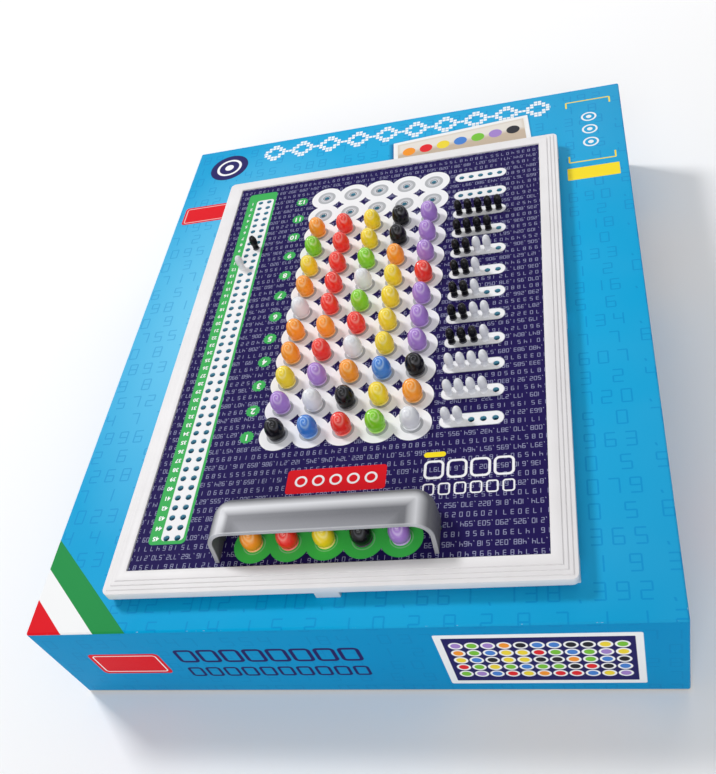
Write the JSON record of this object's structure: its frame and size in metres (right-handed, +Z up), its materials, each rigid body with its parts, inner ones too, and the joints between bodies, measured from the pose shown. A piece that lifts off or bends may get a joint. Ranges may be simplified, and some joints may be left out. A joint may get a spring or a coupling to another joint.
{
  "type": "code breaking peg game",
  "caption": "Code breaking board game: white framed navy peg board with coloured pegs, counting track and grey code shield, set out on its closed flat carton.",
  "frame": {"origin": "middle of the carton's underside", "axes": "+Y away from the player who hides the code, along the carton's longest side; +Z up, along its shortest extent"},
  "size_m": [0.284, 0.365, 0.0905],
  "materials": {
    "tray_board": "matt, paper wrapped",
    "lid_print": "printed, varnished",
    "white_plastic": "satin moulded",
    "clear_white_plastic": "moulded",
    "leaflet_paper": "uncoated",
    "panel_print": "printed navy, white and green",
    "grey_plastic": "satin silver grey",
    "orange_peg": "glossy",
    "red_peg": "glossy",
    "yellow_peg": "glossy",
    "purple_peg": "glossy",
    "green_peg": "glossy",
    "blue_peg": "glossy",
    "white_peg": "glossy",
    "black_peg": "glossy"
  },
  "bodies": {
    "carton_base": {"carton_tray": "tray_board", "peg_tray": "clear_white_plastic", "rules_leaflet": "leaflet_paper"},
    "lid": {"carton_lid": "lid_print"},
    "board": {"board_frame": "white_plastic", "peg_panel": "panel_print"},
    "shield": {"code_shield": "grey_plastic"},
    "hidden_code": {"code_pegs": "orange_peg"},
    "black_count": {"count_peg_black": "black_peg"},
    "white_count": {"count_peg_white": "white_peg"},
    "guess_01": {"guess_row_01": "blue_peg"},
    "feedback_01": {"feedback_row_01": "white_peg"},
    "guess_02": {"guess_row_02": "purple_peg"},
    "feedback_02": {"feedback_row_02": "white_peg"},
    "guess_03": {"guess_row_03": "yellow_peg"},
    "feedback_03": {"feedback_row_03": "white_peg"},
    "guess_04": {"guess_row_04": "orange_peg"},
    "feedback_04": {"feedback_row_04": "black_peg"},
    "guess_05": {"guess_row_05": "orange_peg"},
    "feedback_05": {"feedback_row_05": "black_peg"},
    "guess_06": {"guess_row_06": "green_peg"},
    "feedback_06": {"feedback_row_06": "black_peg"},
    "guess_07": {"guess_row_07": "red_peg"},
    "feedback_07": {"feedback_row_07": "black_peg"},
    "guess_08": {"guess_row_08": "green_peg"},
    "feedback_08": {"feedback_row_08": "black_peg"},
    "guess_09": {"guess_row_09": "yellow_peg"},
    "feedback_09": {"feedback_row_09": "black_peg"},
    "guess_10": {"guess_row_10": "orange_peg"},
    "feedback_10": {"feedback_row_10": "black_peg"}
  },
  "joints": [
    {"name": "lid_lift", "type": "slide", "parent": "carton_base", "child": "lid", "axis": [0, 0, 1], "range_m": [0, 0.075]},
    {"name": "board_lift", "type": "slide", "parent": "lid", "child": "board", "axis": [0, 0, 1], "range_m": [0, 0.05]},
    {"name": "shield_lift", "type": "slide", "parent": "board", "child": "shield", "axis": [0, 0, 1], "range_m": [0, 0.04]},
    {"name": "hidden_code_pull", "type": "slide", "parent": "board", "child": "hidden_code", "axis": [0, 0, 1], "range_m": [0, 0.005]},
    {"name": "black_count_pull", "type": "slide", "parent": "board", "child": "black_count", "axis": [0, 0, 1], "range_m": [0, 0.02]},
    {"name": "white_count_pull", "type": "slide", "parent": "board", "child": "white_count", "axis": [0, 0, 1], "range_m": [0, 0.02]},
    {"name": "guess_pull_01", "type": "slide", "parent": "board", "child": "guess_01", "axis": [0, 0, 1], "range_m": [0, 0.02]},
    {"name": "feedback_pull_01", "type": "slide", "parent": "board", "child": "feedback_01", "axis": [0, 0, 1], "range_m": [0, 0.02]},
    {"name": "guess_pull_02", "type": "slide", "parent": "board", "child": "guess_02", "axis": [0, 0, 1], "range_m": [0, 0.02]},
    {"name": "feedback_pull_02", "type": "slide", "parent": "board", "child": "feedback_02", "axis": [0, 0, 1], "range_m": [0, 0.02]},
    {"name": "guess_pull_03", "type": "slide", "parent": "board", "child": "guess_03", "axis": [0, 0, 1], "range_m": [0, 0.02]},
    {"name": "feedback_pull_03", "type": "slide", "parent": "board", "child": "feedback_03", "axis": [0, 0, 1], "range_m": [0, 0.02]},
    {"name": "guess_pull_04", "type": "slide", "parent": "board", "child": "guess_04", "axis": [0, 0, 1], "range_m": [0, 0.02]},
    {"name": "feedback_pull_04", "type": "slide", "parent": "board", "child": "feedback_04", "axis": [0, 0, 1], "range_m": [0, 0.02]},
    {"name": "guess_pull_05", "type": "slide", "parent": "board", "child": "guess_05", "axis": [0, 0, 1], "range_m": [0, 0.02]},
    {"name": "feedback_pull_05", "type": "slide", "parent": "board", "child": "feedback_05", "axis": [0, 0, 1], "range_m": [0, 0.02]},
    {"name": "guess_pull_06", "type": "slide", "parent": "board", "child": "guess_06", "axis": [0, 0, 1], "range_m": [0, 0.02]},
    {"name": "feedback_pull_06", "type": "slide", "parent": "board", "child": "feedback_06", "axis": [0, 0, 1], "range_m": [0, 0.02]},
    {"name": "guess_pull_07", "type": "slide", "parent": "board", "child": "guess_07", "axis": [0, 0, 1], "range_m": [0, 0.02]},
    {"name": "feedback_pull_07", "type": "slide", "parent": "board", "child": "feedback_07", "axis": [0, 0, 1], "range_m": [0, 0.02]},
    {"name": "guess_pull_08", "type": "slide", "parent": "board", "child": "guess_08", "axis": [0, 0, 1], "range_m": [0, 0.02]},
    {"name": "feedback_pull_08", "type": "slide", "parent": "board", "child": "feedback_08", "axis": [0, 0, 1], "range_m": [0, 0.02]},
    {"name": "guess_pull_09", "type": "slide", "parent": "board", "child": "guess_09", "axis": [0, 0, 1], "range_m": [0, 0.02]},
    {"name": "feedback_pull_09", "type": "slide", "parent": "board", "child": "feedback_09", "axis": [0, 0, 1], "range_m": [0, 0.02]},
    {"name": "guess_pull_10", "type": "slide", "parent": "board", "child": "guess_10", "axis": [0, 0, 1], "range_m": [0, 0.02]},
    {"name": "feedback_pull_10", "type": "slide", "parent": "board", "child": "feedback_10", "axis": [0, 0, 1], "range_m": [0, 0.02]}
  ]
}
